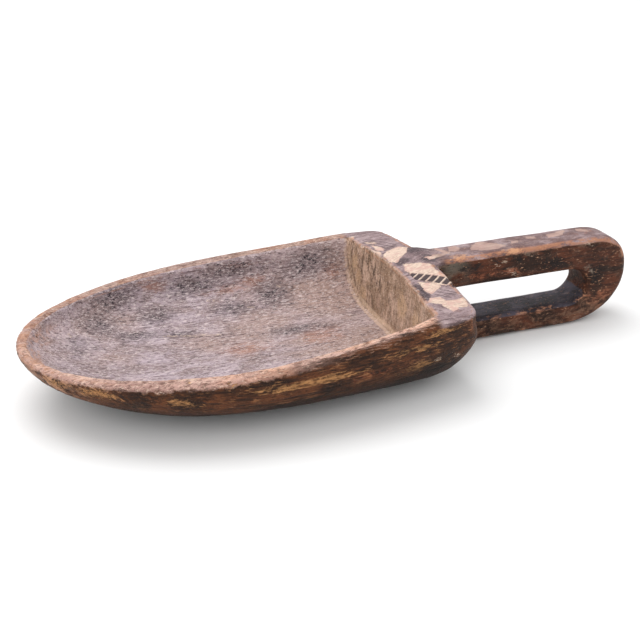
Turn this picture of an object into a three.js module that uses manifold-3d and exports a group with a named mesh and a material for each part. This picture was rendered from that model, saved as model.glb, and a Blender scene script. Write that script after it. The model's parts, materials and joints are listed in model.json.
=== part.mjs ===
// Feed scoop carved from one block of hardwood: a long U-shaped bowl, a crowned deck behind it, and a
// closed loop handle that stands on edge. Millimetres, +Z up, bowl towards -X, handle towards +X, resting
// on Z = 0.
import * as THREE from 'three';
import { ParametricGeometry } from 'three/addons/geometries/ParametricGeometry.js';
import { mergeVertices } from 'three/addons/utils/BufferGeometryUtils.js';
import Module from 'manifold-3d';

// Driving dimensions.
const LENGTH = 445;             // nose of the bowl to the end of the handle
const BOWL_WIDTH = 196;         // across the rim at its widest
const HEIGHT = 67.5;            // flat underside to the top of the handle

// Bowl, measured back from the nose.
const NOSE_X = -LENGTH / 2;
const WIDEST_X = NOSE_X + 149;          // where the rim is widest
const CAVITY_BACK_X = NOSE_X + 257;     // top edge of the wall behind the grain
const DECK_DEPTH = 29;                  // top of the block between the bowl and the handle
const DECK_BACK_X = CAVITY_BACK_X + DECK_DEPTH;
const REAR_WIDTH = 166;                 // across the deck
const WALL = 12.5;                      // side walls at the rim
const NOSE_WALL = 7.5;                  // lip at the nose
const FLOOR_THICKNESS = 15;             // wood under the middle of the bowl
const RIM_DROP = 13;                    // rim at the nose, below the corners of the deck
const RIM_LEVEL_RUN = 208;              // length in front of the deck over which the rim falls; then level
const KEEL_RUN = 125;                   // underside curves up to the lip over this length
const CAVITY_KEEL_RUN = 112;            // the same curve inside the bowl
const UNDERSIDE_FLAT = 1;               // planed off the lowest line of the hull to give a flat to rest on

// How square a cross-section is: 2 is an ellipse and larger is boxier.
const HULL_ROUND_NOSE = 1.75;
const HULL_ROUND_BACK = 3.1;
const HULL_ROUND_TURN = 2.6;            // where the back of the block turns under
const CAVITY_ROUND_NOSE = 2.2;
const CAVITY_ROUND_BACK = 4.6;
const CAVITY_SLANT = 0.2;               // the cavity's sides lean in by this share at its back

// Deck: low at its outer corners, crowned in the middle, rising into the handle.
const DECK_CORNER_Z = 57.5;
const CROWN_FRONT = 4;                  // crown along the bowl's back edge
const CROWN_BACK = HEIGHT - DECK_CORNER_Z;
const BACK_BULGE = 4;                   // the back of the block swells past the deck's edge
const BACK_CORNER = 34;                 // rounding of the upright back corners
const BACK_FOOT = 28;                   // rounding of the back of the block where it turns under

// Handle: one flat loop, standing on edge in the middle.
const BAR_WIDTH = 29;
const UPPER_BAR = 23.5;
const SLOT_HEIGHT = 25.6;
const SLOT_START_X = DECK_BACK_X + 8;
const END_THICKNESS = 34;               // wood behind the slot
const END_TOP_RUN = 32;                 // the loop's end turns down over this length above
const END_FOOT_RUN = 48;                // and comes back over this length below
const END_TURN_Z = 39;                  // height at which the end stands furthest back
const END_TOP_PULL = 8;                 // how far below the top the end's upper curve steers
const END_FOOT_PULL = 20;               // how far below the turn its lower curve steers
const END_EASE = 0.45;                  // share of each run over which the curve leaves the bars
const HANDLE_END_X = LENGTH / 2;
const HANDLE_EDGE = 5;                  // rounding along the handle's edges
const SLOT_TOP_Z = HEIGHT - UPPER_BAR;
const SLOT_BOTTOM_Z = SLOT_TOP_Z - SLOT_HEIGHT;
const SLOT_END_X = HANDLE_END_X - END_THICKNESS;

// Regions: where one carved region of the block is parted from the next.
const REGION_GAP = 0.3;
const NOSE_SPLIT_X = -125;
const REAR_SPLIT_X = CAVITY_BACK_X - 3;
const SIDE_SPLIT_Y = 52;
const ROOT_SPLIT_X = SLOT_START_X - 2;
const END_SPLIT_X = SLOT_END_X - SLOT_HEIGHT / 2;
const BAR_SPLIT_Z = (SLOT_TOP_Z + SLOT_BOTTOM_Z) / 2;
const REACH = 2 * LENGTH;               // larger than the whole scoop

const wasm = await Module();
wasm.setup();

// ---- outline and profile curves of the bowl ----

// Half width of an outline that is an ellipse to its widest point and then draws in to the back.
function halfWidth(x, noseX, widest, rear) {
  if (x <= WIDEST_X) {
    const along = (WIDEST_X - x) / (WIDEST_X - noseX);
    return widest * Math.sqrt(Math.max(0, 1 - along * along));
  }
  const back = Math.min(1, (x - WIDEST_X) / (DECK_BACK_X - WIDEST_X));
  return rear + (widest - rear) * Math.cos(back * Math.PI / 2);
}

// Height of the rim: highest at the deck, easing down to level towards the nose.
function rimHeight(x) {
  const forward = THREE.MathUtils.clamp((CAVITY_BACK_X - x) / RIM_LEVEL_RUN, 0, 1);
  return DECK_CORNER_Z - RIM_DROP * Math.sin(forward * Math.PI / 2);
}

// Height of the underside or of the floor: level, then a quarter ellipse up to the rim at the nose.
function keelHeight(x, noseX, levelZ, run) {
  const into = THREE.MathUtils.clamp((noseX + run - x) / run, 0, 1);
  const rim = rimHeight(x);
  return rim - (rim - levelZ) * Math.sqrt(1 - into * into);
}

// Crown of the deck over its outer corners, at a place across its width (-1 to 1).
function crownHeight(x, across) {
  const back = THREE.MathUtils.clamp((x - CAVITY_BACK_X) / DECK_DEPTH, 0, 1);
  const rise = THREE.MathUtils.lerp(CROWN_FRONT, CROWN_BACK, back);
  const flat = BAR_WIDTH / REAR_WIDTH;
  return x < REAR_SPLIT_X ? 0 : rise * Math.min(1, (1 - Math.abs(across)) / (1 - flat));
}

const power = (value, exponent) => Math.sign(value) * Math.pow(Math.abs(value), exponent);

// Share of a section's points that run along its rounded underside; the rest close it above the rim.
const HULL_UNDERSIDE = 0.7;
const CAVITY_UNDERSIDE = 0.75;
const CAVITY_OPEN = 1.5;                // the cavity's closing roof stands this much clear of the rim

// ---- solids ----

function toSolid(geometry) {
  const bare = geometry.clone();
  bare.deleteAttribute('normal');
  bare.deleteAttribute('uv');
  const merged = mergeVertices(bare, 1e-4);
  const index = merged.index.array;
  const kept = [];
  for (let i = 0; i < index.length; i += 3) {
    const [a, b, c] = [index[i], index[i + 1], index[i + 2]];
    if (a !== b && b !== c && c !== a) kept.push(a, b, c);
  }
  return new wasm.Manifold(new wasm.Mesh({
    numProp: 3,
    vertProperties: new Float32Array(merged.attributes.position.array),
    triVerts: new Uint32Array(kept),
  }));
}

function toGeometry(solid) {
  const mesh = solid.getMesh();
  const geometry = new THREE.BufferGeometry();
  geometry.setAttribute('position', new THREE.BufferAttribute(mesh.vertProperties, 3));
  geometry.setIndex(new THREE.BufferAttribute(mesh.triVerts, 1));
  return geometry.toNonIndexed();
}

// A closed loft along X. Sections come from sectionPoint(x, around); the nose closes to a point by itself
// and the back is closed by a flat cap.
function loft(sectionPoint, noseX, endX, slices, noseRows, bodyRows) {
  const rows = noseRows + bodyRows;
  const stationX = (row) => {
    if (row <= noseRows) return WIDEST_X - (WIDEST_X - noseX) * Math.cos(row / noseRows * Math.PI / 2);
    return WIDEST_X + (endX - WIDEST_X) * (row - noseRows) / bodyRows;
  };
  const surface = (around, along, target) => {
    const row = Math.round(along * (rows + 1));
    if (row > rows) target.set(endX, 0, (HEIGHT + rimHeight(endX)) / 4);
    else sectionPoint(stationX(row), around === 0 ? 0 : 1 - around, target);
  };
  return toSolid(new ParametricGeometry(surface, slices, rows + 1));
}

// Outside of the bowl and block: rounded underneath, crowned where the deck is.
function hullSection(x, around, target) {
  const width = halfWidth(x, NOSE_X, BOWL_WIDTH / 2, REAR_WIDTH / 2);
  const rim = rimHeight(x);
  const keel = keelHeight(x, NOSE_X, -UNDERSIDE_FLAT, KEEL_RUN);
  const back = THREE.MathUtils.clamp((x - NOSE_X) / (CAVITY_BACK_X - NOSE_X), 0, 1);
  const turn = THREE.MathUtils.clamp((x - CAVITY_BACK_X) / (DECK_DEPTH + BACK_BULGE), 0, 1);
  const along = THREE.MathUtils.lerp(HULL_ROUND_NOSE, HULL_ROUND_BACK, back);
  const fullness = 2 / THREE.MathUtils.lerp(along, HULL_ROUND_TURN, turn);
  if (around <= HULL_UNDERSIDE) {
    const angle = Math.PI * around / HULL_UNDERSIDE;
    const y = width * power(Math.cos(angle), fullness);
    target.set(x, y, rim - (rim - keel) * power(Math.sin(angle), fullness));
    return;
  }
  const across = 2 * (around - HULL_UNDERSIDE) / (1 - HULL_UNDERSIDE) - 1;
  target.set(x, width * across, rim + crownHeight(x, across));
}

// Inside of the bowl, with straight sides above the rim so that it cuts the rim cleanly.
function cavitySection(x, around, target) {
  const noseX = NOSE_X + NOSE_WALL;
  const width = halfWidth(x, noseX, BOWL_WIDTH / 2 - WALL, REAR_WIDTH / 2 - WALL);
  const rim = rimHeight(x);
  const floor = keelHeight(x, noseX, FLOOR_THICKNESS, CAVITY_KEEL_RUN);
  const back = THREE.MathUtils.clamp((x - NOSE_X) / (CAVITY_BACK_X - NOSE_X), 0, 1);
  const fullness = 2 / THREE.MathUtils.lerp(CAVITY_ROUND_NOSE, CAVITY_ROUND_BACK, back * back);
  const slant = CAVITY_SLANT * back * back;
  if (around <= CAVITY_UNDERSIDE) {
    const angle = Math.PI * around / CAVITY_UNDERSIDE;
    const depth = power(Math.sin(angle), fullness);
    const y = width * power(Math.cos(angle), fullness) * (1 - slant * depth);
    target.set(x, y, rim - (rim - floor) * depth);
    return;
  }
  const across = 2 * (around - CAVITY_UNDERSIDE) / (1 - CAVITY_UNDERSIDE) - 1;
  const roofZ = rim + CAVITY_OPEN * HEIGHT * (1 - Math.abs(across));
  target.set(x, width * THREE.MathUtils.clamp(CAVITY_OPEN * across, -1, 1), roofZ);
}

// Plan of the block: straight sides with rounded upright corners at the back.
function backPlan() {
  const backX = DECK_BACK_X + BACK_BULGE;
  const cornerY = REAR_WIDTH / 2;
  const sideY = halfWidth(backX - BACK_CORNER, NOSE_X, BOWL_WIDTH / 2, cornerY) + REGION_GAP;
  const shape = new THREE.Shape();
  shape.moveTo(NOSE_X - WALL, -BOWL_WIDTH);
  shape.lineTo(backX - 2 * BACK_CORNER, -BOWL_WIDTH);
  shape.lineTo(backX - BACK_CORNER, -sideY);
  shape.lineTo(backX - BACK_CORNER / 2, -cornerY);
  shape.quadraticCurveTo(backX, -cornerY + BACK_CORNER / 4, backX, -cornerY + BACK_CORNER);
  shape.lineTo(backX, cornerY - BACK_CORNER);
  shape.quadraticCurveTo(backX, cornerY - BACK_CORNER / 4, backX - BACK_CORNER / 2, cornerY);
  shape.lineTo(backX - BACK_CORNER, sideY);
  shape.lineTo(backX - 2 * BACK_CORNER, BOWL_WIDTH);
  shape.lineTo(NOSE_X - WALL, BOWL_WIDTH);
  const settings = { depth: 3 * HEIGHT, bevelEnabled: false, curveSegments: 6 };
  const geometry = new THREE.ExtrudeGeometry(shape, settings);
  geometry.translate(0, 0, -HEIGHT);
  return toSolid(geometry);
}

// Side profile of the block: the back leans out below the deck's edge and turns under to the flat base.
function backProfile() {
  const backX = DECK_BACK_X + BACK_BULGE;
  const shape = new THREE.Shape();
  shape.moveTo(NOSE_X - WALL, 0);
  shape.lineTo(backX - BACK_FOOT, 0);
  shape.quadraticCurveTo(backX, 0, backX, BACK_FOOT);
  shape.quadraticCurveTo(backX, DECK_CORNER_Z - BACK_FOOT / 3, DECK_BACK_X, DECK_CORNER_Z - BACK_BULGE);
  shape.lineTo(DECK_BACK_X, 2 * HEIGHT);
  shape.lineTo(NOSE_X - WALL, 2 * HEIGHT);
  const settings = { depth: 2 * BOWL_WIDTH, bevelEnabled: false, curveSegments: 8 };
  const geometry = new THREE.ExtrudeGeometry(shape, settings);
  geometry.rotateX(Math.PI / 2);
  geometry.translate(0, BOWL_WIDTH, 0);
  return toSolid(geometry);
}

// The handle's loop in side view, drawn inside its rounded edges, with the finger slot through it. Its front
// runs down into the crown of the deck.
function handleLoop() {
  const inset = HANDLE_EDGE;
  const endX = HANDLE_END_X - inset;
  const topZ = HEIGHT - inset;
  const rootX = DECK_BACK_X - DECK_DEPTH / 2;
  const shape = new THREE.Shape();
  shape.moveTo(rootX, inset + BACK_BULGE);
  shape.lineTo(DECK_BACK_X, inset);
  shape.lineTo(HANDLE_END_X - END_FOOT_RUN, inset);
  const footX = endX - END_FOOT_RUN * END_EASE;
  const crestX = endX - END_TOP_RUN * END_EASE;
  shape.bezierCurveTo(footX, inset, endX, END_TURN_Z - END_FOOT_PULL, endX, END_TURN_Z);
  shape.bezierCurveTo(endX, topZ - END_TOP_PULL, crestX, topZ, HANDLE_END_X - END_TOP_RUN, topZ);
  shape.lineTo(DECK_BACK_X + inset, topZ);
  shape.lineTo(rootX, topZ - CROWN_BACK / 2);
  const slotRadius = SLOT_HEIGHT / 2 + inset;
  const slot = new THREE.Path();
  slot.absarc(SLOT_END_X - SLOT_HEIGHT / 2, BAR_SPLIT_Z, slotRadius, -Math.PI / 2, Math.PI / 2, false);
  slot.absarc(SLOT_START_X + SLOT_HEIGHT / 2, BAR_SPLIT_Z, slotRadius, Math.PI / 2, 1.5 * Math.PI, false);
  shape.holes.push(slot);
  const geometry = new THREE.ExtrudeGeometry(shape, {
    depth: BAR_WIDTH - 2 * HANDLE_EDGE,
    curveSegments: 10,
    bevelThickness: HANDLE_EDGE,
    bevelSize: HANDLE_EDGE,
    bevelSegments: 3,
  });
  geometry.rotateX(Math.PI / 2);
  geometry.translate(0, BAR_WIDTH / 2 - HANDLE_EDGE, 0);
  return toSolid(geometry);
}

// A box between two corners; open directions run past the whole scoop.
function region({ x = [-REACH, REACH], y = [-REACH, REACH], z = [-REACH, REACH] }) {
  const half = REGION_GAP / 2;
  const low = [x[0] + half, y[0] + half, z[0] + half];
  const high = [x[1] - half, y[1] - half, z[1] - half];
  const geometry = new THREE.BoxGeometry(...high.map((value, axis) => value - low[axis]));
  geometry.translate(...high.map((value, axis) => (value + low[axis]) / 2));
  return toSolid(geometry);
}

// ---- the carved block ----

const hull = loft(hullSection, NOSE_X, DECK_BACK_X + 2 * BACK_BULGE, 40, 16, 12)
  .intersect(backPlan())
  .intersect(backProfile());
const cavity = loft(cavitySection, NOSE_X + NOSE_WALL, CAVITY_BACK_X, 48, 16, 9);
const scoop = hull.add(handleLoop()).subtract(cavity);

// ---- named regions ----

const wood = (color, roughness) => new THREE.MeshStandardMaterial({ color, roughness, metalness: 0 });
const bowlWood = wood(0x9a8078, 0.62);
const outerWood = wood(0x5a3d30, 0.62);
const deckWood = wood(0xb59c94, 0.62);
const handleWood = wood(0x59423a, 0.5);

const part = new THREE.Group();

function addRegion(name, bounds, material) {
  const mesh = new THREE.Mesh(toGeometry(scoop.intersect(region(bounds))), material);
  mesh.name = name;
  part.add(mesh);
}

const middleX = [NOSE_SPLIT_X, REAR_SPLIT_X];
const barX = [ROOT_SPLIT_X, END_SPLIT_X];
addRegion('bowl_nose', { x: [-REACH, NOSE_SPLIT_X] }, bowlWood);
addRegion('bowl_floor', { x: middleX, y: [-SIDE_SPLIT_Y, SIDE_SPLIT_Y] }, bowlWood);
addRegion('bowl_side_left', { x: middleX, y: [SIDE_SPLIT_Y, REACH] }, outerWood);
addRegion('bowl_side_right', { x: middleX, y: [-REACH, -SIDE_SPLIT_Y] }, outerWood);
addRegion('rear_deck', { x: [REAR_SPLIT_X, ROOT_SPLIT_X] }, deckWood);
addRegion('handle_upper_bar', { x: barX, z: [BAR_SPLIT_Z, REACH] }, handleWood);
addRegion('handle_lower_bar', { x: barX, z: [-REACH, BAR_SPLIT_Z] }, handleWood);
addRegion('handle_end', { x: [END_SPLIT_X, REACH] }, handleWood);

export default part;
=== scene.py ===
"""Looks of the feed scoop: one carved and weathered block of wood, on a pale floor in soft light."""

import json
import math
from types import SimpleNamespace

import bmesh
import bpy
import numpy as np
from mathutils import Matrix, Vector, noise


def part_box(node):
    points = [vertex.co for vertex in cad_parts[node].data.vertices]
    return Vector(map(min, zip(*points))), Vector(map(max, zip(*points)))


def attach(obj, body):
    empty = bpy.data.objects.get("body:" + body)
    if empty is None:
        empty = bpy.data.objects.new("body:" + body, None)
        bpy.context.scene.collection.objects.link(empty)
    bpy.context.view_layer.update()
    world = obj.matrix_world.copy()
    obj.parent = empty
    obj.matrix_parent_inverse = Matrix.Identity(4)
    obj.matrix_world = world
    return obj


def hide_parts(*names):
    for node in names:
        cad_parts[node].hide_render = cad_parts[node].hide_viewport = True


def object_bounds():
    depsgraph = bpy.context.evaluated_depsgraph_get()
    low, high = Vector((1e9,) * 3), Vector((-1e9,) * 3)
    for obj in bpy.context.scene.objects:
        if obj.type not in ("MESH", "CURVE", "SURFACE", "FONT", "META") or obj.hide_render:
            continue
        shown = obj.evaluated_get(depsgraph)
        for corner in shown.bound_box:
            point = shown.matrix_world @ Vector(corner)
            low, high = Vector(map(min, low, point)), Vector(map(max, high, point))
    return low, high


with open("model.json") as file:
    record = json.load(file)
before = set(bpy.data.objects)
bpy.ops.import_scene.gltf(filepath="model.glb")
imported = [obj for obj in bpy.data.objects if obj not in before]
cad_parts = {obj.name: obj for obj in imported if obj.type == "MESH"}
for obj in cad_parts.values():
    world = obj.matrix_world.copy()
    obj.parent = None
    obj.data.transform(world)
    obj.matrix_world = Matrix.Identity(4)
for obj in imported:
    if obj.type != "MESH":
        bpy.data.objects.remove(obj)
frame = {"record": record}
cad_low, cad_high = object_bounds()

NODES = [entry["node"] for entry in frame["record"]["subparts"]]
MM = 0.001


def box_mm(node):
    """Lowest and highest corner of a node of the frame, in millimetres."""
    low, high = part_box(node)
    return np.array(low) / MM, np.array(high) / MM


# ---- driving dimensions, in millimetres, taken from the frame where it has them ----

NOSE_X = box_mm("bowl_nose")[0][0]
END_X = box_mm("handle_end")[1][0]
HEIGHT = box_mm("handle_upper_bar")[1][2]
HALF_WIDTH = box_mm("bowl_side_left")[1][1]
HALF_BAR = box_mm("handle_upper_bar")[1][1]
WIDEST_X = NOSE_X + 149                 # where the rim is widest
NOSE_TIP = 0.3                          # the bodies' shapes are read no nearer to their noses than this
CAVITY_BACK_X = NOSE_X + 257            # top edge of the wall behind the bowl
DECK_DEPTH = 29                         # top of the block between the bowl and the handle
DECK_BACK_X = CAVITY_BACK_X + DECK_DEPTH
HALF_REAR = 83                          # half width of the deck
WALL = 12.5                             # side walls at the rim
NOSE_WALL = 7.5                         # lip at the nose
FLOOR_Z = 15                            # floor of the bowl
RIM_DROP = 13                           # rim at the nose, below the corners of the deck
RIM_LEVEL_RUN = 208                     # length over which the rim falls
KEEL_RUN = 125                          # underside curves up to the lip over this length
CAVITY_KEEL_RUN = 112                   # the same curve inside the bowl
UNDERSIDE_FLAT = 1                      # taken off the lowest line of the hull
SMALLEST = 0.3                          # least width or depth of a section

# Roundness of the sections: 2 is an ellipse, and more is squarer.
HULL_ROUND_NOSE = 1.75
HULL_ROUND_BACK = 3.1
HULL_ROUND_TURN = 2.6                   # where the back of the block turns under
CAVITY_ROUND_NOSE = 2.2
CAVITY_ROUND_BACK = 4.4
CAVITY_SLANT = 0.2                      # the bowl's sides lean in by this share at its back
END_ROUND_TOP = 2.35
END_ROUND_FOOT = 2.1

DECK_CORNER_Z = 57.5
CROWN_FRONT = 4                         # crown along the bowl's back edge
CROWN_BACK = HEIGHT - DECK_CORNER_Z     # and at the handle
CROWN_ONSET = 18                        # length over which the crown starts
CROWN_SHARPNESS = 9                     # how tightly the crown levels off beside the handle
WALL_BOW = 3                            # the wall behind the bowl is bowed back by this much
WALL_BOW_HALF = 60
WALL_LEAN = 3                           # and leans forward to its foot by this much
WALL_LEAN_RUN = 42
CAVITY_CORNER = 2.5                     # rounding where that wall meets the bowl
BACK_BULGE = 4                          # the back of the block swells past the deck's edge
FOOT_TURN = 25                          # rounding of the block's foot
CORNER_TURN = 10                        # rounding of its upright back corners, under the deck

HANDLE_EDGE = 6
SLOT_EDGE = 5
SLOT_RADIUS = 12.8
SLOT_Z = 31.2
SLOT_START_X = DECK_BACK_X + 8 + SLOT_RADIUS
SLOT_STOP_X = END_X - 34 - SLOT_RADIUS
END_TURN_Z = 39                         # height at which the handle's end stands furthest back
END_TOP_RUN = 32
END_FOOT_RUN = 48
ROOT_SLOPE = 0.25                       # fall of the handle's top towards the deck
ROOT_SLOPE_START = 4
ROOT_X = DECK_BACK_X - DECK_DEPTH / 2
FILLET_FAR = 9                          # filling between deck and handle, on the far side
FILLET = 3                              # and elsewhere

CUT_DEPTH = 0.45                        # of the carved band and scratches
CHIP_DEPTH = 1.6
CHIP_SIZE = (16, 7, 7)
CHIP_SEED = 3
# Unevenness of the surface: height, size along X, Y and Z, seed, and octaves.
WAVES = [(0.4, (60, 22, 22), 1, 3), (0.14, (26, 5, 5), 2, 3), (0.9, (110, 80, 80), 6, 1)]
LOWEST_Z = 0.02
EDGE_REACH = 5                          # how deep the wood is probed for edges and inner corners
CELL = 1.6       # edge of the mesh's quads


# ---- curves ----

def mix(a, b, share):
    return a + (b - a) * share


def ease(share):
    share = np.clip(share, 0, 1)
    return share * share * (3 - 2 * share)


def half_width(x, nose_x, widest, rear):
    """Half width of an outline: an ellipse up to its widest point, then drawn in to the back."""
    front = np.clip((WIDEST_X - x) / (WIDEST_X - nose_x), 0, 1)
    back = np.clip((x - WIDEST_X) / (DECK_BACK_X - WIDEST_X), 0, 1)
    drawn_in = rear + (widest - rear) * np.cos(back * math.pi / 2)
    return np.where(x < WIDEST_X, widest * np.sqrt(1 - front ** 2), drawn_in)


def rim_height(x):
    forward = np.clip((CAVITY_BACK_X - x) / RIM_LEVEL_RUN, 0, 1)
    return DECK_CORNER_Z - RIM_DROP * np.sin(forward * math.pi / 2)


def keel_height(x, nose_x, level_z, run):
    into = np.clip((nose_x + run - x) / run, 0, 1)
    rim = rim_height(x)
    return rim - (rim - level_z) * np.sqrt(1 - into ** 2)


def top_height(x, y):
    """The rim, and the crowned deck that rises from its outer corners into the handle."""
    back = np.clip((x - CAVITY_BACK_X) / DECK_DEPTH, 0, 1)
    across = np.abs(y) / half_width(x, NOSE_X, HALF_WIDTH, HALF_REAR).clip(1)
    slope = np.clip((1 - across) / (1 - HALF_BAR / HALF_REAR), 0, None)
    shoulder = slope - np.logaddexp(0, (slope - 1) * CROWN_SHARPNESS) / CROWN_SHARPNESS
    onset = ease((x - CAVITY_BACK_X + CROWN_ONSET) / CROWN_ONSET)
    return rim_height(x) + mix(CROWN_FRONT, CROWN_BACK, back) * np.clip(shoulder, 0, 1) * onset


# ---- solids as distances, negative inside ----

def round_and(a, b, radius):
    """Both solids at once, the edge between them rounded."""
    corner = np.hypot(np.maximum(a + radius, 0), np.maximum(b + radius, 0))
    return np.minimum(np.maximum(a, b), -radius) + corner


def round_or(a, b, radius):
    """Either solid, the inner corner between them filled."""
    return -round_and(-a, -b, radius)


def distance(ratio, x, y, z, *sizes):
    """Turns a field that is zero on the surface into a distance near it."""
    step = 0.1
    here = ratio(x, y, z, *sizes)
    slope = np.sqrt((ratio(x + step, y, z, *sizes) - here) ** 2 + (ratio(x, y + step, z, *sizes) - here) ** 2
                    + (ratio(x, y, z + step, *sizes) - here) ** 2) / step
    return here / np.maximum(slope, 1e-3)


def section(side, under, square):
    """Zero on a rounded section, negative inside it."""
    return (side ** square + under ** square) ** (1 / square) - 1


def hull_ratio(x, y, z):
    back = np.clip((x - NOSE_X) / (CAVITY_BACK_X - NOSE_X), 0, 1)
    turn = np.clip((x - CAVITY_BACK_X) / DECK_DEPTH, 0, 1)
    width = half_width(x, NOSE_X, HALF_WIDTH, HALF_REAR).clip(SMALLEST)
    rim = rim_height(x)
    depth = (rim - keel_height(x, NOSE_X, -UNDERSIDE_FLAT, KEEL_RUN)).clip(SMALLEST)
    square = mix(mix(HULL_ROUND_NOSE, HULL_ROUND_BACK, back), HULL_ROUND_TURN, turn)
    ahead = np.maximum(NOSE_X - x, 0)
    return section(np.abs(y) / width, np.maximum(rim - z, 0) / depth, square) + ahead


def cavity_ratio(x, y, z):
    nose_x = NOSE_X + NOSE_WALL
    back = np.clip((x - NOSE_X) / (CAVITY_BACK_X - NOSE_X), 0, 1) ** 2
    width = half_width(x, nose_x, HALF_WIDTH - WALL, HALF_REAR - WALL).clip(SMALLEST)
    rim = rim_height(x)
    depth = (rim - keel_height(x, nose_x, FLOOR_Z, CAVITY_KEEL_RUN)).clip(SMALLEST)
    sunk = np.maximum(rim - z, 0) / depth
    lean = 1 - CAVITY_SLANT * back * np.minimum(sunk, 1)
    ahead = np.maximum(nose_x - x, 0)
    square = mix(CAVITY_ROUND_NOSE, CAVITY_ROUND_BACK, back)
    return section(np.abs(y) / (width * lean), sunk, square) + ahead


def outline_ratio(x, y, z, nose_x, widest):
    """Front half of an outline seen from above, whatever the height."""
    return np.hypot(np.maximum(WIDEST_X - x, 0) / (WIDEST_X - nose_x), y / widest) - 1


def tapered(ratio, x, y, z, nose_x, widest):
    """Distance to a body that tapers to nothing at its nose."""
    outline = distance(outline_ratio, x, y, z, nose_x, widest)
    return np.maximum(outline, distance(ratio, np.maximum(x, nose_x + NOSE_TIP), y, z))


def loop_ratio(x, y, z):
    """Side outline of the handle: two bars joined by a round end."""
    upper = z > END_TURN_Z
    top = HEIGHT - ROOT_SLOPE * np.clip(DECK_BACK_X + ROOT_SLOPE_START - x, 0, DECK_DEPTH)
    run = np.where(upper, END_TOP_RUN, END_FOOT_RUN)
    rise = np.where(upper, top - END_TURN_Z, END_TURN_Z)
    along = np.maximum(x - (END_X - run), 0) / run
    square = np.where(upper, END_ROUND_TOP, END_ROUND_FOOT)
    return section(along, np.abs(z - END_TURN_Z) / rise, square)


def cavity(x, y, z):
    bowed = WALL_BOW * np.clip(1 - (y / WALL_BOW_HALF) ** 2, 0, 1)
    lean = WALL_LEAN * np.clip(1 - (z - FLOOR_Z) / WALL_LEAN_RUN, 0, 1)
    wall = x - (CAVITY_BACK_X + bowed - lean)
    bowl = tapered(cavity_ratio, x, y, z, NOSE_X + NOSE_WALL, HALF_WIDTH - WALL)
    return round_and(bowl, wall, CAVITY_CORNER)


def block(x, y, z):
    hull = tapered(hull_ratio, x, y, z, NOSE_X, HALF_WIDTH)
    back_x = DECK_BACK_X + BACK_BULGE * (1 - ease((z - 34) / 20))
    turn = mix(FOOT_TURN, CORNER_TURN, ease((z - 8) / 36))
    turned = round_and(hull, x - back_x, turn)
    flat = np.maximum(turned, -z)
    edge = mix(2.6, 4.2, ease((x - NOSE_X) / 80)) - 1.4 * ease((x - CAVITY_BACK_X) / 20)
    return round_and(flat, z - top_height(x, y), edge)


def handle(x, y, z):
    slot = np.hypot(x - np.clip(x, SLOT_START_X, SLOT_STOP_X), z - SLOT_Z) - SLOT_RADIUS
    bar = round_and(distance(loop_ratio, x, y, z), np.abs(y) - HALF_BAR, HANDLE_EDGE)
    return np.maximum(round_and(bar, -slot, SLOT_EDGE), ROOT_X - x)


def scoop(points):
    x, y, z = points
    fillet = mix(FILLET, FILLET_FAR, ease((y + 8) / 16) * ease((z - 45) / 10))
    inner_edge = mix(4.2, 2.2, ease((x - NOSE_X) / 70)) - 1.0 * ease((x - CAVITY_BACK_X + 14) / 12)
    return round_and(round_or(block(x, y, z), handle(x, y, z), fillet), -cavity(x, y, z), inner_edge)


# ---- mesh ----

CORNERS = [(i, j, k) for i in (0, 1) for j in (0, 1) for k in (0, 1)]


def surface_net(low, high, cell):
    """Quads on the surface of the scoop, one vertex for each grid cell that it passes through."""
    counts = np.ceil((high - low) / cell).astype(int) + 1
    axes = [low[a] + cell * np.arange(counts[a]) for a in range(3)]
    values = scoop(np.meshgrid(*axes, indexing="ij"))
    inside = values < 0
    full = sum(inside[i:counts[0] - 1 + i, j:counts[1] - 1 + j, k:counts[2] - 1 + k].astype(int)
               for i, j, k in CORNERS)
    cells = np.argwhere((full > 0) & (full < 8))
    corner_values = {c: values[tuple((cells + c).T)] for c in CORNERS}
    total = np.zeros((len(cells), 3))
    hits = np.zeros(len(cells))
    for a in CORNERS:
        for axis in range(3):
            if a[axis]:
                continue
            b = tuple(v + (n == axis) for n, v in enumerate(a))
            va, vb = corner_values[a], corner_values[b]
            crossed = (va < 0) != (vb < 0)
            share = np.where(crossed, va / np.where(crossed, va - vb, 1), 0)
            spot = np.array(a) + share[:, None] * (np.arange(3) == axis)
            total += np.where(crossed[:, None], spot, 0)
            hits += crossed
    points = low + cell * (cells + total / hits[:, None])
    number = np.full(counts, -1)
    number[tuple(cells.T)] = np.arange(len(cells))
    faces = []
    for axis in range(3):
        ahead = np.roll(inside, -1, axis)
        b, c = (axis + 1) % 3, (axis + 2) % 3
        for going_in in (True, False):
            change = (~inside & ahead) if going_in else (inside & ~ahead)
            index = np.argwhere(change)
            index = index[(index[:, axis] < counts[axis] - 1) & (index[:, b] > 0) & (index[:, c] > 0)]
            quad = []
            for back_b, back_c in ((1, 1), (0, 1), (0, 0), (1, 0)):
                near = index.copy()
                near[:, b] -= back_b
                near[:, c] -= back_c
                quad.append(number[tuple(near.T)])
            faces.append(np.stack(quad[::-1] if going_in else quad, axis=1))
    return points, np.concatenate(faces)


def slopes(points):
    step = 0.05
    here = scoop(points.T)
    slope = np.stack([scoop((points + step * (np.arange(3) == a)).T) - here for a in range(3)], axis=1)
    return here, slope / step


def settle(points, rounds=2):
    """Moves points onto the surface."""
    for _ in range(rounds):
        here, slope = slopes(points)
        move = slope * (here / np.maximum((slope ** 2).sum(1), 0.2))[:, None]
        length = np.linalg.norm(move, axis=1, keepdims=True)
        points = points - move * np.minimum(1, 0.8 / np.maximum(length, 1e-9))
    return points


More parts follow.
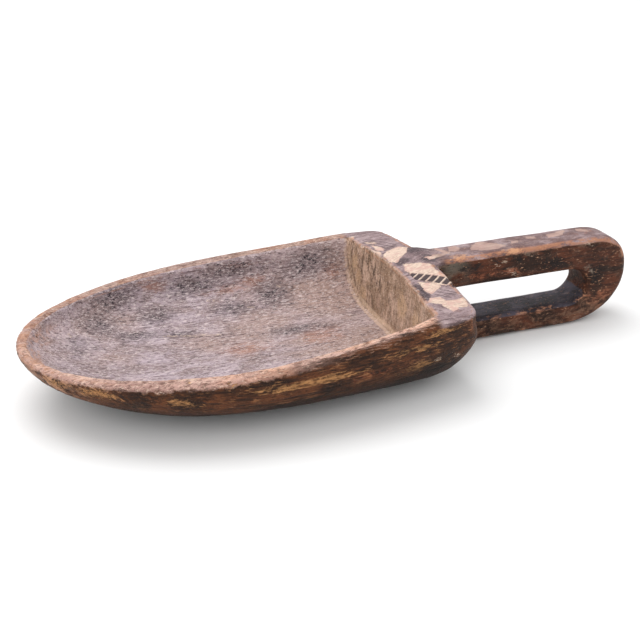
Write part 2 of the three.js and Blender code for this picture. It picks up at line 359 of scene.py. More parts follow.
def relax(points, edges, rounds):
    """Evens out the mesh by moving each point towards its neighbours' middle and back to the surface."""
    for _ in range(rounds):
        total = np.zeros_like(points)
        count = np.bincount(edges.ravel(), minlength=len(points))
        for a, b in ((0, 1), (1, 0)):
            for axis in range(3):
                total[:, axis] += np.bincount(edges[:, a], points[edges[:, b], axis], len(points))
        points = mix(points, total / count[:, None], 0.5)
        points = settle(points, 1)
    return points


def carve():
    margin = 3 * CELL
    low = cad_low_mm - margin
    high = cad_high_mm + margin
    points, faces = surface_net(low, high, CELL)
    mesh = bpy.data.meshes.new("scoop_wood")
    mesh.from_pydata(points.tolist(), [], faces.tolist())
    mesh.update()
    return mesh


def mesh_points(mesh):
    flat = np.empty(3 * len(mesh.vertices))
    mesh.vertices.foreach_get("co", flat)
    return flat.reshape(-1, 3)


def set_points(mesh, points):
    mesh.vertices.foreach_set("co", points.ravel())
    mesh.update()


def mesh_edges(mesh):
    flat = np.empty(2 * len(mesh.edges), dtype=int)
    mesh.edges.foreach_get("vertices", flat)
    return flat.reshape(-1, 2)


def surface_normals(points):
    slope = slopes(points)[1]
    return slope / np.linalg.norm(slope, axis=1, keepdims=True)


def wander(points, stretch, seed, octaves=3):
    """Smooth noise from -1 to 1 at each point; stretch is the size of a feature along X, Y and Z."""
    start = Vector((seed * 17.3, seed * 5.9, seed * 11.1))
    scaled = points / np.array(stretch)
    return np.array([noise.fractal(Vector(p) + start, 1, 2, octaves) for p in scaled.tolist()])


# ---- masks kept on the mesh for the wood's colours ----

def spots(points, places):
    """1 in the middle of each place and 0 at its edge. A place is its middle, then its reach."""
    mask = np.zeros(len(points))
    for place in places:
        middle, reach = np.array(place[:3]), np.array(place[3:])
        mask = np.maximum(mask, 1 - np.linalg.norm((points - middle) / reach, axis=1))
    return mask


GREY_PATCHES = [
    (-146, 70, 39, 30, 22, 20), (-160, 52, 29, 26, 20, 14), (-86, 80, 35, 40, 14, 14),
    (-52, 82, 42, 44, 12, 12), (-28, 66, 24, 24, 22, 16), (2, 75, 42, 34, 12, 20),
    (-135, 43, 20, 34, 9, 9), (-108, 40, 17, 26, 6, 8), (-24, 22, 16, 40, 12, 6), (-175, 20, 28, 20, 30, 10),
    (-60, 60, 22, 26, 14, 10), (-118, 60, 25, 24, 14, 12),
    (36, 30, 48, 8, 9, 14), (36, 17, 42, 8, 9, 14), (35, 48, 46, 8, 4, 12), (36, 0, 36, 8, 6, 10),
]
PALE_PATCHES = [
    (138, -14, 64, 12, 5, 5), (123, -15, 53, 9, 3, 4), (189, -15, 45, 7, 3, 4), (35, 59, 44, 8, 7, 11),
    (35, 52, 34, 8, 7, 10), (35, 42, 26, 8, 8, 8), (36, -20, 40, 8, 12, 14), (36, -48, 40, 8, 12, 14),
]
# Short chips, scratches and cracks, each a line between two places.
LIGHT_MARKS = [
    ((-77, 71, 24), (-76, 70, 27)), ((-73, 71, 24), (-72, 70, 27)), ((-118, 40, 17.5), (-96, 35, 16.5)),
    ((-94, 35, 16.5), (-80, 32, 16)), ((30, -86.6, 32), (34, -85.8, 32)), ((46, -82.4, 31), (50, -81, 30)),
    ((20, -88, 26), (23, -87.5, 25)), ((-133, -81, 45), (-128, -82, 45)), ((190, -14, 43), (193, -14, 41)),
    ((186, -14, 64), (196, -12, 60)), ((34, -64, 24), (34, -70, 30)), ((34, -40, 17), (34, -66, 20)),
    ((33.4, 68, 44), (33.4, 44, 20)), ((33.4, 44, 20), (33.4, 14, 16.5)), ((-186, 44, 31), (-180, 36, 28)),
    ((-50, 60, 20), (-46, 59, 20)), ((-24, 72, 30), (-22, 71, 28)), ((34, 5, 48), (34, 2, 40)),
    ((60, -12, 58), (66, -14, 63)), ((112, -14, 58), (119, -14, 60)), ((122, -14, 52), (127, -14, 49)),
]
DARK_MARKS = [
    ((-209, 24, 41), (-202, 28, 35)), ((-112, 34, 17), (-72, 30, 16)), ((-60, 24, 16), (-30, 22, 16)),
    ((36, 36, 54), (36, 18, 36)), ((36, 42, 52), (36, 28, 34)), ((35, 54, 52), (35, 46, 36)),
    ((36, 10, 58), (36, 4, 44)), ((35, -50, 50), (35, -54, 36)), ((-90, -86, 42), (-78, -88, 43)),
    ((-30, -92, 44), (-12, -92, 45)), ((10, -90, 44), (24, -88, 44)), ((37, -34, 62), (37, -54, 60)),
    ((112, -14, 62), (132, -14, 64)), ((86, -14, 56), (100, -14, 58)), ((64, -28, 62), (66, -18, 64)),
]
RUST_PATCHES = [
    (-88, 88, 42, 60, 9, 9), (-45, 84, 44, 50, 9, 7), (-112, 80, 38, 30, 9, 12), (-42, 78, 33, 30, 12, 12),
    (18, 68, 38, 20, 12, 24), (-15, 8, 15, 44, 40, 6), (-70, 5, 15, 50, 24, 6), (-60, 76, 30, 60, 8, 10),
]
# Remains of a pale coating on the deck and on top of the handle: outlines seen from above.
COAT = [
    [(45, -2), (54, -7), (60, -13), (61, -28), (67, -35), (63, -42), (57, -44), (52, -39), (43, -24),
     (42, -10)],
    [(43, -29), (53, -39), (54, -43), (50, -45), (44, -49), (42, -44)],
    [(40, -53), (48, -54), (49, -60), (55, -62), (62, -60), (61, -68), (58, -73), (53, -72), (47, -75),
     (45, -70), (44, -64), (38, -57)],
    [(40, 24), (46, 27), (55, 30), (59, 23), (53, 11), (47, 6), (42, 4), (38, 10)],
    [(40, 56), (46, 51), (46, 46), (39, 50)],
    [(41, 46), (44, 43), (46, 33), (43, 29), (40, 36)],
    [(36, 43), (39, 36), (41, 28), (37, 21), (35, 30)],
    [(36, 74), (40, 74), (37, 69), (34, 71)],
    [(60, -3), (72, -1), (80, -2), (72, -6), (62, -8)],
    [(73, 10), (76, 9), (82, -2), (80, -5), (75, 1)],
    [(84, 9), (90, 8), (93, 3), (86, -2), (81, 1)],
    [(101, 5), (109, 10), (117, 4), (126, -4), (116, -8), (106, -7), (97, -3)],
    [(131, 2), (137, 2), (135, -3), (129, -3)],
    [(145, 7), (153, 5), (151, -1), (144, 2)],
    [(161, 5), (170, 6), (180, 9), (174, 0), (161, -2)],
    [(188, 8), (196, 4), (195, -2), (187, 3)],
]
DARK_PATCHES = [
    (62, 14, 66, 16, 18, 8), (64, -6, 67, 10, 8, 6), (40, -38, 61, 8, 12, 6), (39, -48, 60, 5, 12, 6),
    (124, -14, 62, 26, 6, 10), (92, -15, 58, 18, 5, 9), (160, -14.5, 52, 30, 5, 12),
    (196, -15, 40, 16, 5, 26),
    (46, 1, 64, 10, 6, 5), (-206, -40, 44, 16, 18, 8), (-60, -92, 25, 90, 26, 18), (20, -85, 18, 70, 26, 16),
    (-170, -70, 26, 40, 24, 10), (60, -70, 30, 20, 20, 14), (140, -14, 22, 40, 6, 8),
    (124, -14, 61, 12, 4, 5), (76, -14, 64, 12, 4, 4), (150, -14, 64, 14, 4, 3),
]
OCHRE_PATCHES = [
    (-206, -42, 38, 26, 24, 14), (-186, -63, 38, 28, 20, 12), (33, -88, 52, 34, 8, 6),
    (18, -91, 44, 44, 8, 6),
    (-60, -96, 38, 80, 8, 8), (-132, -84, 45, 9, 5, 4), (-130, -85, 34, 60, 10, 8), (20, -88, 30, 40, 10, 8),
    (-90, -94, 44, 60, 6, 5),
    (84, -10, 66, 12, 5, 4), (126, -12, 66, 12, 4, 4),
]
RED_PATCHES = [
    (56, -76, 50, 20, 18, 18), (112, -14.5, 52, 60, 5, 7), (190, 0, 66, 26, 20, 8), (110, -13, 65, 80, 5, 4),
    (200, -14, 20, 26, 6, 14), (140, -14, 16, 80, 7, 7), (-10, -92, 34, 50, 10, 10),
    (200, 0, 60, 20, 20, 10),
]

# The cut band on the near half of the deck: a slanting strip of leaning dark cells.
BAND_START = (44.5, -15.5)
BAND_RUN = (18, -18)
BAND_WIDTHS = (12.5, 14.5)  # at its start and at its end
BAND_PITCH = 3.6            # from one cell to the next, along X
BAND_SLANT = 7.7            # how far a cell's side leans over the band's width
SCRATCHES = [((40, 60), (52, 33)), ((38, 57), (49, 31)), ((43, 62), (56, 36)), ((38, -30), (42, -50)),
             ((49, -48), (58, -56)), ((52, -46), (60, -54)), ((46, -50), (54, -58))]


def band_cells(x, y):
    """1 inside the cells of the cut band, 0 on its borders and outside it."""
    along = (x - BAND_START[0]) / BAND_RUN[0]
    across = (BAND_START[1] - y + BAND_RUN[1] * along) / mix(*BAND_WIDTHS, along)
    cell = (x - BAND_START[0] + BAND_SLANT * across) / BAND_PITCH % 1
    inside_cell = ease((0.5 - np.abs(cell - 0.5) - 0.08) / 0.08)
    inside_strip = ease((0.5 - np.abs(across - 0.5) - 0.02) / 0.05)
    within = (along > -0.1) & (along < 1.2)
    return inside_cell * inside_strip * within


def from_line(points, start, end):
    """Distance from each point to a straight line between two places."""
    start, end = np.array(start), np.array(end)
    share = np.clip((points - start) @ (end - start) / ((end - start) ** 2).sum(), 0, 1)
    return np.linalg.norm(points - start - share[:, None] * (end - start), axis=1)


def from_lines(points, lines):
    return np.min([from_line(points, start, end) for start, end in lines], axis=0)


def within_outlines(points, outlines):
    """Distance inside the nearest outline, negative outside them all."""
    x, y = points.T
    best = np.full(len(x), -1e3)
    for outline in outlines:
        near = np.full(len(x), 1e3)
        inside = np.zeros(len(x), dtype=bool)
        for start, end in zip(outline, outline[1:] + outline[:1]):
            near = np.minimum(near, from_line(points, start, end))
            crosses = (start[1] > y) != (end[1] > y)
            rise = end[1] - start[1] if end[1] != start[1] else 1
            inside ^= crosses & (x < start[0] + (y - start[1]) * (end[0] - start[0]) / rise)
        best = np.maximum(best, np.where(inside, near, -near))
    return best


# The masks, three at most to one colour attribute.
MASK_GROUPS = {
    "zone": ("inside", "deck", "grip"),
    "form": ("up", "edge", "crease"),
    "stain": ("grey", "rust", "dark"),
    "tint": ("coat", "ochre", "red"),
    "place": ("back_wall", "lip", "cut"),
    # below, the depth under the rim, also sets the painted shade on the outer wall.
    "wear": ("corner", "below"),
    "marks": ("light_marks", "dark_marks", "pale_patch"),
}


def form_masks(points, normals):
    """Where the wood lies inside the bowl, on the deck or on the handle, and where it has edges."""
    x, y, z = points.T
    hollow_depth = cavity(x, y, z)
    inside = 1 - ease((hollow_depth - 0.4) / 1.6)
    up = ease((normals[:, 2] - 0.1) / 0.5)
    on_deck = ease((x - CAVITY_BACK_X + 4) / 6) * (1 - ease((x - DECK_BACK_X - 2) / 10))
    grip = ease((x - DECK_BACK_X - 2) / 10)
    sunk = scoop((points - EDGE_REACH * normals).T)
    raised = scoop((points + EDGE_REACH * normals).T)
    sideways = normals[:, 1] ** 2
    return {
        "inside": inside,
        "up": up,
        "deck": up * (1 - inside) * on_deck,
        "grip": grip,
        "back_wall": inside * ease((-normals[:, 0] - 0.35) / 0.3) * ease((x - 20) / 6),
        "edge": np.clip(1 + sunk / EDGE_REACH, 0, 1),
        "crease": np.clip(1 - raised / EDGE_REACH, 0, 1),
        "lip": np.exp(-np.maximum(hollow_depth - 1, 0) / 2.5) * (1 - inside),
        "corner": 4 * sideways * (1 - sideways) * grip,
        "below": np.clip((rim_height(x) - z) / 40, 0, 1),
    }


def wear_masks(points, form):
    """Stains, marks, carving and the remains of the coating."""
    x, y, z = points.T
    seen_from_above = points[:, :2]
    on_top = form["up"] * ease((z - 50) / 6)
    scratch = 0.6 * (1 - ease((from_lines(seen_from_above, SCRATCHES) - 0.25) / 0.5))
    stray = np.stack([0.9 * wander(points, (9, 5, 9), seed) for seed in (4, 5)], axis=1)
    return {
        "cut": np.maximum(band_cells(x, y), scratch) * on_top * (1 - form["inside"]),
        "coat": np.clip(0.5 + within_outlines(seen_from_above + stray, COAT) / 6, 0, 1) * on_top,
        "grey": spots(points, GREY_PATCHES),
        "rust": spots(points, RUST_PATCHES),
        "dark": spots(points, DARK_PATCHES),
        "ochre": spots(points, OCHRE_PATCHES),
        "red": spots(points, RED_PATCHES),
        "pale_patch": spots(points, PALE_PATCHES),
        "light_marks": np.clip(1 - from_lines(points, LIGHT_MARKS) / 3, 0, 1),
        "dark_marks": np.clip(1 - from_lines(points, DARK_MARKS) / 3, 0, 1),
    }


def paint_masks(mesh, points, normals):
    masks = form_masks(points, normals)
    masks.update(wear_masks(points, masks))
    for group, names in MASK_GROUPS.items():
        values = np.ones((len(points), 4))
        for channel, name in enumerate(names):
            values[:, channel] = masks[name]
        layer = mesh.attributes.new(group, "FLOAT_COLOR", "POINT")
        layer.data.foreach_set("color", values.astype(np.float32).ravel())
    return masks


def refine(mesh, low, high):
    """Cuts the mesh finer inside a box, for small carving."""
    shape = bmesh.new()
    shape.from_mesh(mesh)
    within = [all(a < c < b for a, c, b in zip(low, vertex.co, high)) for vertex in shape.verts]
    shape.verts.index_update()
    edges = [edge for edge in shape.edges if all(within[vertex.index] for vertex in edge.verts)]
    bmesh.ops.subdivide_edges(shape, edges=edges, cuts=2, use_grid_fill=True)
    bmesh.ops.triangulate(shape, faces=[face for face in shape.faces if len(face.verts) > 4])
    shape.to_mesh(mesh)
    shape.free()


cad_low_mm = np.array(cad_low) / MM
cad_high_mm = np.array(cad_high) / MM


def make_scoop():
    mesh = carve()
    points = relax(settle(mesh_points(mesh), 3), mesh_edges(mesh), 3)
    set_points(mesh, settle(points, 2))
    deck_low = (CAVITY_BACK_X + 1, -HALF_REAR, DECK_CORNER_Z - 2)
    deck_high = (DECK_BACK_X + 4, HALF_REAR, HEIGHT)
    refine(mesh, deck_low, deck_high)
    points = settle(mesh_points(mesh), 2)
    normals = surface_normals(points)
    masks = paint_masks(mesh, points, normals)
    waver = sum(height * wander(points, size, seed, octaves) for height, size, seed, octaves in WAVES)
    on_edges = ease((masks["edge"] - 0.1) / 0.3)
    chips = np.clip(wander(points, CHIP_SIZE, CHIP_SEED) - 0.1, 0, 1) * on_edges
    points = points + normals * (waver - CHIP_DEPTH * chips - CUT_DEPTH * masks["cut"])[:, None]
    points[:, 2] = np.maximum(points[:, 2], LOWEST_Z)
    set_points(mesh, points * MM)
    mesh.polygons.foreach_set("use_smooth", np.ones(len(mesh.polygons), dtype=bool))
    piece = bpy.data.objects.new("scoop_block", mesh)
    bpy.context.scene.collection.objects.link(piece)
    return piece


# ---- wood ----

def linear(red, green, blue):
    """A colour given as it looks on a screen, 0 to 255, as the shader wants it."""
    channels = [v / 255 for v in (red, green, blue)]
    return [v / 12.92 if v <= 0.04045 else ((v + 0.055) / 1.055) ** 2.4 for v in channels] + [1]


class Graph:
    """Short names for building a material's nodes."""

    def __init__(self, name):
        self.material = bpy.data.materials.new(name)
        self.material.use_nodes = True
        self.nodes = self.material.node_tree.nodes
        self.links = self.material.node_tree.links
        self.shader = self.nodes["Principled BSDF"]
        place = self.nodes.new("ShaderNodeTexCoord").outputs["Object"]
        self.place = self.stretch(place, (1 / MM, 1 / MM, 1 / MM))

    def feed(self, socket, value):
        if isinstance(value, bpy.types.NodeSocket):
            self.links.new(value, socket)
        else:
            socket.default_value = value

    def stretch(self, vector, factors):
        node = self.nodes.new("ShaderNodeVectorMath")
        node.operation = "MULTIPLY"
        self.feed(node.inputs[0], vector)
        self.feed(node.inputs[1], factors)
        return node.outputs[0]

    def math(self, operation, *values):
        node = self.nodes.new("ShaderNodeMath")
        node.operation = operation
        for socket, value in zip(node.inputs, values):
            self.feed(socket, value)
        return node.outputs[0]

    def noise(self, factors, detail=4, rough=0.55, twist=0, shift=0):
        """Noise whose features are about one over factors in size, in millimetres."""
        node = self.nodes.new("ShaderNodeTexNoise")
        node.noise_dimensions = "4D"
        self.feed(node.inputs["Vector"], self.stretch(self.place, factors))
        node.inputs["W"].default_value = shift
        node.inputs["Scale"].default_value = 1
        node.inputs["Detail"].default_value = detail
        node.inputs["Roughness"].default_value = rough
        node.inputs["Distortion"].default_value = twist
        return node.outputs["Fac"]

    def step(self, value, low, high):
        """0 below low, 1 above high and smooth between."""
        node = self.nodes.new("ShaderNodeMapRange")
        node.interpolation_type = "SMOOTHSTEP"
        self.feed(node.inputs["Value"], value)
        node.inputs["From Min"].default_value = low
        node.inputs["From Max"].default_value = high
        return node.outputs["Result"]

    def blend(self, share, a, b):
        node = self.nodes.new("ShaderNodeMix")
        node.data_type = "RGBA"
        self.feed(node.inputs[0], share)
        self.feed(node.inputs[6], a)
        self.feed(node.inputs[7], b)
        return node.outputs[2]

    def masks(self, name):
        node = self.nodes.new("ShaderNodeAttribute")
        node.attribute_name = name
        split = self.nodes.new("ShaderNodeSeparateColor")
        self.links.new(node.outputs["Color"], split.inputs[0])
        return list(split.outputs)

    def ragged(self, mask, texture, low=0.35, high=0.55, spread=0.9):
        """A soft mask with its edge broken up by a noise."""
        push = self.math("MULTIPLY_ADD", texture, spread, -spread / 2)
        return self.step(self.math("ADD", mask, push), low, high)

    def dense(self, mask, texture, sparse=0.66, dense=0.42, soft=0.07):
        """Specks of a noise that crowd together where the mask is strong."""
        limit = self.math("MULTIPLY_ADD", mask, dense - sparse, sparse)
        return self.step(self.math("SUBTRACT", texture, limit), 0, soft)

    def over(self, base, colour, share, strength):
        """Lays a colour over another where share is high."""
        return self.blend(self.math("MULTIPLY", share, strength), base, linear(*colour))

    def layers(self, base, *coats):
        """Lays colours over one another in turn; each is a colour, where it shows and how strongly."""
        for colour, share, strength in coats:
            base = self.over(base, colour, share, strength)
        return base

    def mottled(self, texture, low, high, first, second):
        return self.blend(self.step(texture, low, high), linear(*first), linear(*second))


def wood_fields(g):
    """Every mask on the mesh and every noise that the wood's colours share, by name."""
    w = SimpleNamespace()
    for group, names in MASK_GROUPS.items():
        for name, socket in zip(names, g.masks(group)):
            setattr(w, name, socket)
    split = g.nodes.new("ShaderNodeSeparateXYZ")
    g.feed(split.inputs[0], g.place)
    w.along, w.across, w.height = split.outputs
    w.far = g.step(w.across, -10, 40)
    w.grain = g.noise((0.06, 1.0, 1.0), 5, 0.7, shift=1)
    w.lines = g.noise((0.02, 0.42, 0.42), 3, 0.6, 0.4, shift=2)
    w.flecks = g.noise((0.26, 0.7, 0.7), 5, 0.8, shift=3)
    w.glints = g.noise((0.3, 0.8, 0.8), 5, 0.8, shift=9)
    w.mottle = g.noise((0.035, 0.06, 0.06), 6, 0.7, 0.5, shift=4)
    w.patches = g.noise((0.09, 0.15, 0.15), 6, 0.75, 0.8, shift=5)
    w.end_grain = g.noise((0.3, 0.22, 0.04), 5, 0.75, 0.9, shift=6)
    w.fine = g.noise((0.6, 1.1, 1.1), 3, 0.75, shift=7)
    w.tone = g.noise((0.012, 0.02, 0.02), 3, 0.5, shift=8)
    w.streaks = g.math("MULTIPLY_ADD", w.grain, 0.5, g.math("MULTIPLY", w.patches, 0.5))
    w.coating = g.ragged(w.coat, w.flecks, 0.47, 0.53, 0.9)
    return w


def bowl_colour(g, w):
    """Dry mauve-grey wood, browner towards the back, with crowds of dark specks."""
    return g.layers(
        g.mottled(w.mottle, 0.38, 0.62, (196, 178, 186), (156, 136, 136)),
        ((180, 150, 138), g.step(w.tone, 0.44, 0.62), 0.6),
        ((180, 150, 136), g.step(w.along, -120, 40), 0.5),
        ((176, 122, 98), g.dense(w.rust, w.streaks, 0.64, 0.36, 0.12), 0.6),
        ((100, 88, 92), g.ragged(w.grey, w.patches, 0.05, 0.7, 1.4), 0.6),
        ((104, 84, 84), g.step(w.lines, 0.55, 0.66), 0.5),
        ((84, 66, 68), g.step(w.grain, 0.52, 0.63), 0.7),
        ((76, 62, 64), g.step(w.flecks, 0.5, 0.6), 0.7),
        ((42, 37, 44), g.dense(w.grey, w.flecks, 0.64, 0.45, 0.07), 0.9),
        ((238, 222, 220), g.step(w.glints, 0.51, 0.61), 0.65),
        ((250, 242, 236), g.step(w.fine, 0.6, 0.7), 0.55),
    )


def back_wall_colour(g, w):
    """The wall behind the bowl is cut across the grain and streaked downwards."""
    return g.layers(
        g.mottled(w.end_grain, 0.4, 0.6, (218, 184, 162), (166, 134, 114)),
        ((142, 112, 84), g.step(w.mottle, 0.44, 0.6), 0.65),
        ((78, 64, 52), g.dense(w.far, w.end_grain, 0.64, 0.52, 0.06), 0.7),
        ((74, 62, 52), g.dense(w.grey, w.end_grain, 0.64, 0.4, 0.1), 0.7),
        ((214, 176, 140), g.ragged(w.pale_patch, w.end_grain, 0.15, 0.6, 2), 0.65),
        ((96, 76, 62), g.step(w.patches, 0.5, 0.6), 0.5),
        ((96, 78, 66), g.step(w.flecks, 0.51, 0.62), 0.65),
        ((238, 212, 190), g.step(w.glints, 0.52, 0.62), 0.6),
    )


def hollow_colour(g, w):
    """Everything inside the bowl, with a pale line along the foot of its back wall."""
    bowl = g.blend(w.back_wall, bowl_colour(g, w), back_wall_colour(g, w))
    at_foot = g.math("MULTIPLY", w.crease, g.step(w.along, 10, 26))
    return g.over(bowl, (226, 194, 166), g.ragged(at_foot, w.patches, 0.08, 0.3, 0.7), 0.5)


def outer_colour(g, w):
    """Dark brown with ochre and reddish streaks along the grain, and painted shade that makes it nearly
    black towards the underside.
    """
    return g.layers(
        g.mottled(w.mottle, 0.38, 0.6, (104, 60, 34), (58, 33, 19)),
        ((26, 16, 11), g.step(w.lines, 0.46, 0.6), 0.7),
        ((22, 14, 10), g.step(w.patches, 0.49, 0.62), 0.7),
        ((22, 14, 10), g.dense(w.dark, w.mottle, 0.7, 0.36, 0.2), 0.7),
        ((146, 78, 48), g.dense(w.red, w.patches, 0.66, 0.4, 0.14), 0.5),
        ((168, 112, 72), g.step(w.streaks, 0.52, 0.6), 0.6),
        ((206, 150, 96), g.dense(w.ochre, w.streaks, 0.64, 0.38, 0.1), 0.65),
        ((20, 13, 10), g.step(w.flecks, 0.51, 0.62), 0.75),
        ((180, 130, 90), g.step(w.glints, 0.58, 0.68), 0.45),
        # Painted shade: nearly black towards the underside, growing with the depth below the rim.
        ((14, 9, 7), g.step(w.below, 0.35, 1.0), 0.8),
    )


def rim_colour(g, w):
    """Worn, peach-coloured on the near side and greyer on the far side, with a painted highlight along the
    near side's inner edge.
    """
    near_lip = g.math("SUBTRACT", w.lip, w.far)
    return g.layers(
        g.blend(w.far, linear(220, 168, 142), linear(178, 146, 134)),
        ((168, 112, 84), g.step(w.mottle, 0.45, 0.58), 0.7),
        ((178, 150, 148), g.step(w.tone, 0.44, 0.56), 0.6),
        # Painted highlight along the inner edge of the near rim.
        ((246, 208, 184), g.math("MULTIPLY", near_lip, g.step(w.patches, 0.56, 0.44)), 0.8),
        ((98, 62, 46), g.step(w.patches, 0.5, 0.6), 0.7),
        ((74, 48, 38), g.step(w.flecks, 0.5, 0.6), 0.7),
        ((250, 222, 202), g.step(w.glints, 0.52, 0.62), 0.65),
        ((230, 170, 98), g.dense(w.ochre, w.patches, 0.75, 0.45, 0.12), 0.6),
    )


def rim_share(g, w):
    """Where the rim's colour shows: all of the far rim and the nose, and only the near rim's lip."""
    on_rim = g.math("MULTIPLY_ADD", w.below, -8.0, 1.0)
    texture = g.math("MULTIPLY_ADD", w.flecks, 0.3, g.math("MULTIPLY", w.patches, 0.7))
    worn_lip = g.ragged(w.lip, w.streaks, 0.04, 0.15, 1.0)
    near = g.math("MAXIMUM", worn_lip, g.step(w.along, -30, -110))
    return g.math("MULTIPLY", g.ragged(on_rim, texture, 0.25, 0.75, 3), g.math("MAXIMUM", near, w.far))


def top_colour(g, w):
    """Deck and handle top: purple-grey wood with the remains of a pale coating."""
    wood = g.layers(
        g.mottled(w.mottle, 0.4, 0.62, (178, 156, 158), (132, 110, 112)),
        ((84, 66, 68), g.step(w.lines, 0.54, 0.64), 0.55),
        ((66, 56, 62), g.ragged(w.dark, w.patches, 0.15, 0.55, 1.4), 0.75),
        ((80, 64, 66), g.step(w.flecks, 0.51, 0.62), 0.7),
        ((224, 206, 200), g.step(w.glints, 0.54, 0.64), 0.55),
        ((134, 88, 74), g.dense(w.red, w.patches, 0.66, 0.4, 0.14), 0.6),
    )
    pale = g.layers(
        linear(230, 206, 188),
        ((180, 148, 136), g.step(w.flecks, 0.46, 0.6), 0.7),
        ((212, 170, 160), g.step(w.patches, 0.46, 0.58), 0.7),
    )
    return g.over(g.blend(w.coating, wood, pale), (64, 54, 60), w.cut, 0.95)


def handle_side_colour(g, w):
    """Dark polished wood, greyer at the handle's root."""
    at_root = g.math("MULTIPLY", g.step(w.along, 96, 76), g.step(w.mottle, 0.36, 0.5))
    at_foot = g.math("MULTIPLY", g.step(w.height, 30, 14), g.step(w.patches, 0.44, 0.6))
    return g.layers(
        g.mottled(w.mottle, 0.4, 0.6, (92, 50, 32), (46, 28, 20)),
        ((30, 20, 18), g.step(w.lines, 0.48, 0.62), 0.5),
        ((120, 94, 78), g.step(w.patches, 0.53, 0.65), 0.55),
        ((136, 116, 102), g.ragged(w.pale_patch, w.glints, 0.35, 0.7, 4), 0.5),
        ((118, 108, 96), at_root, 0.7),
        ((22, 16, 16), g.dense(w.dark, w.patches, 0.64, 0.4, 0.08), 0.85),
        ((156, 90, 62), g.dense(w.red, w.patches, 0.66, 0.44, 0.1), 0.7),
        ((24, 17, 15), g.step(w.flecks, 0.52, 0.64), 0.65),
        ((150, 112, 90), g.step(w.glints, 0.57, 0.67), 0.45),
        ((146, 108, 86), at_foot, 0.4),
    )


def handle_top_colour(g, w, top):
    """The deck's colours made browner, and on the floor of the slot dark blue-grey, partly dirt and partly
    painted shade.
    """
    upper = g.layers(
        top,
        ((106, 76, 72), g.step(w.mottle, 0.36, 0.6), 0.7),
        ((166, 108, 84), g.dense(w.red, w.patches, 0.7, 0.42, 0.16), 0.65),
        ((184, 150, 142), w.coating, 0.6),
    )
    # Floor of the slot under the upper bar: dark blue-grey, partly dirt and partly painted shade.
    lower = g.mottled(w.mottle, 0.4, 0.6, (84, 78, 88), (46, 40, 44))
    lower = g.over(lower, (150, 130, 126), g.step(w.patches, 0.55, 0.68), 0.5)
    return g.blend(g.step(w.height, 46, 54), lower, upper)


def handle_colour(g, w, top):
    """Dark sides and a paler top, orange-brown where the edges are rubbed."""
    facing_up = g.ragged(w.up, w.patches, 0.55, 0.85, 0.8)
    colour = g.blend(facing_up, handle_side_colour(g, w), handle_top_colour(g, w, top))
    often = g.math("MULTIPLY_ADD", g.step(w.height, 52, 60), 0.1, w.patches)
    rub = g.math("MULTIPLY", g.step(w.corner, 0.35, 0.9), g.step(often, 0.52, 0.62))
    return g.layers(
        colour,
        ((190, 132, 100), rub, 0.75),
        ((222, 166, 128), g.ragged(w.ochre, w.glints, 0.3, 0.7, 4), 0.75),
    )


def wood_colour(g, w):
    """The regions' colours joined, then rubbed edges, painted shade in the inner corners and single marks.
    """
    top = top_colour(g, w)
    colour = g.blend(rim_share(g, w), outer_colour(g, w), rim_colour(g, w))
    colour = g.blend(g.ragged(w.inside, w.patches, 0.4, 0.7, 0.5), colour, hollow_colour(g, w))
    colour = g.blend(w.deck, colour, top)
    colour = g.blend(w.grip, colour, handle_colour(g, w, top))
    rubbed = g.math("MULTIPLY", g.step(w.edge, 0.2, 0.5), g.step(w.patches, 0.44, 0.56))
    outside = g.math("SUBTRACT", 1.0, w.inside)
    # Painted shade: darker in the inner corners and creases outside the bowl.
    corner_shade = g.math("MULTIPLY", g.step(w.crease, 0.15, 0.6), outside)
    return g.layers(
        colour,
        ((206, 152, 120), rubbed, 0.5),
        # Painted shade in the inner corners.
        ((54, 40, 36), corner_shade, 0.4),
        ((60, 46, 42), g.ragged(w.dark_marks, w.flecks, 0.6, 0.9, 3), 0.7),
        ((208, 184, 162), g.ragged(w.light_marks, w.glints, 0.66, 0.96, 4), 0.6),
    )


def wood_roughness(g, w):
    """Drier inside the bowl and on the deck than on the handled sides."""
    worn = g.math("MAXIMUM", w.inside, w.deck)
    rough = g.math("MULTIPLY_ADD", worn, 0.2, 0.5)
    return g.math("MULTIPLY_ADD", w.flecks, 0.3, g.math("ADD", rough, -0.12))


def wood_relief(g, w):
    """Height of the grain, cracks, dents and coating."""
    relief = g.math("ADD", g.math("MULTIPLY", w.grain, 0.5), g.math("MULTIPLY", w.flecks, 0.7))
    relief = g.math("ADD", relief, g.math("MULTIPLY", g.step(w.lines, 0.5, 0.7), -0.35))
    relief = g.math("ADD", relief, g.math("MULTIPLY", w.patches, 0.8))
    return g.math("ADD", relief, g.math("MULTIPLY", w.coating, 0.25))


def wood_material():
    g = Graph("weathered_wood")
    w = wood_fields(g)
    g.feed(g.shader.inputs["Base Color"], wood_colour(g, w))
    g.feed(g.shader.inputs["Roughness"], wood_roughness(g, w))
    g.shader.inputs["Specular IOR Level"].default_value = 0.18
    bump = g.nodes.new("ShaderNodeBump")
    bump.inputs["Strength"].default_value = 0.9
    bump.inputs["Distance"].default_value = 0.0012
    g.feed(bump.inputs["Height"], wood_relief(g, w))
    g.feed(g.shader.inputs["Normal"], bump.outputs["Normal"])
    return g.material


scoop_piece = make_scoop()
scoop_piece.data.materials.append(wood_material())
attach(scoop_piece, "root")
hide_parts(*NODES)


# ---- stage ----

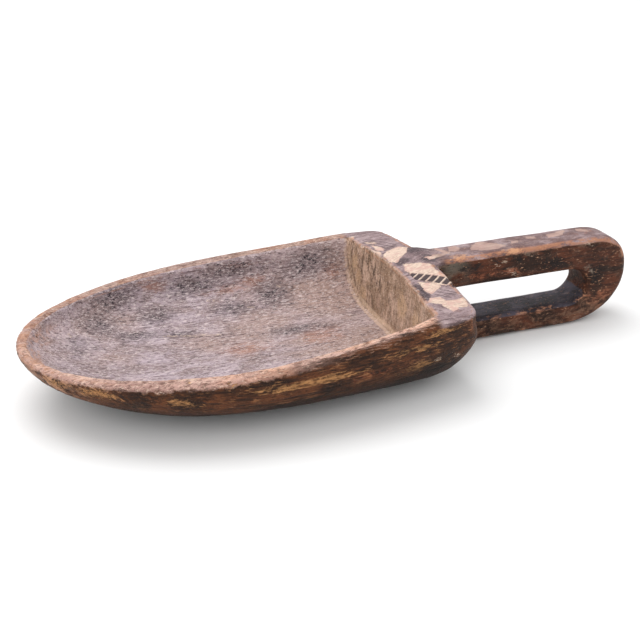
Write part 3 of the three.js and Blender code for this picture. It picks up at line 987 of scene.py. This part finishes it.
# Metres from here on.
FLOOR_HALF = 6
VIEW_TARGET = (-0.01674, 0, 0.03041)
VIEW_AZIMUTH = math.radians(-20.94)
VIEW_ELEVATION = math.radians(25.20)
VIEW_DISTANCE = 0.8333
LENS = 67.53
SENSOR = 36
LIT_PLACE = (0, 0, 0.03)


def add_floor():
    mesh = bpy.data.meshes.new("floor")
    size = FLOOR_HALF
    corners = [(-size, -size, 0), (size, -size, 0), (size, size, 0), (-size, size, 0)]
    mesh.from_pydata(corners, [], [(0, 1, 2, 3)])
    floor = bpy.data.objects.new("floor", mesh)
    bpy.context.scene.collection.objects.link(floor)
    pale = bpy.data.materials.new("floor_pale")
    pale.use_nodes = True
    shader = pale.node_tree.nodes["Principled BSDF"]
    shader.inputs["Base Color"].default_value = (0.92, 0.92, 0.92, 1)
    shader.inputs["Roughness"].default_value = 0.9
    mesh.materials.append(pale)


def add_light(name, location, size, power):
    data = bpy.data.lights.new(name, "AREA")
    data.shape = "DISK"
    data.size = size
    data.energy = power
    light = bpy.data.objects.new(name, data)
    light.location = location
    light.rotation_euler = (Vector(LIT_PLACE) - Vector(location)).to_track_quat("-Z", "Y").to_euler()
    bpy.context.scene.collection.objects.link(light)


def add_camera():
    flat = math.cos(VIEW_ELEVATION)
    away = Vector((math.sin(VIEW_AZIMUTH) * flat, -math.cos(VIEW_AZIMUTH) * flat, math.sin(VIEW_ELEVATION)))
    data = bpy.data.cameras.new("camera")
    data.sensor_width = SENSOR
    data.lens = LENS
    camera = bpy.data.objects.new("camera", data)
    camera.location = Vector(VIEW_TARGET) + VIEW_DISTANCE * away
    camera.rotation_mode = "QUATERNION"
    camera.rotation_quaternion = (-away).to_track_quat("-Z", "Y")
    bpy.context.scene.collection.objects.link(camera)
    bpy.context.scene.camera = camera


def add_world():
    world = bpy.data.worlds.new("sky")
    world.use_nodes = True
    background = world.node_tree.nodes["Background"]
    background.inputs["Color"].default_value = (1, 1, 1, 1)
    background.inputs["Strength"].default_value = 0.9
    bpy.context.scene.world = world


add_floor()
bpy.context.scene.view_settings.view_transform = "Standard"
add_light("key", (-0.3, 0.6, 1.6), 1.6, 15)
add_light("fill", (-1.0, -1.0, 1.0), 1.2, 5)
add_camera()
add_world()
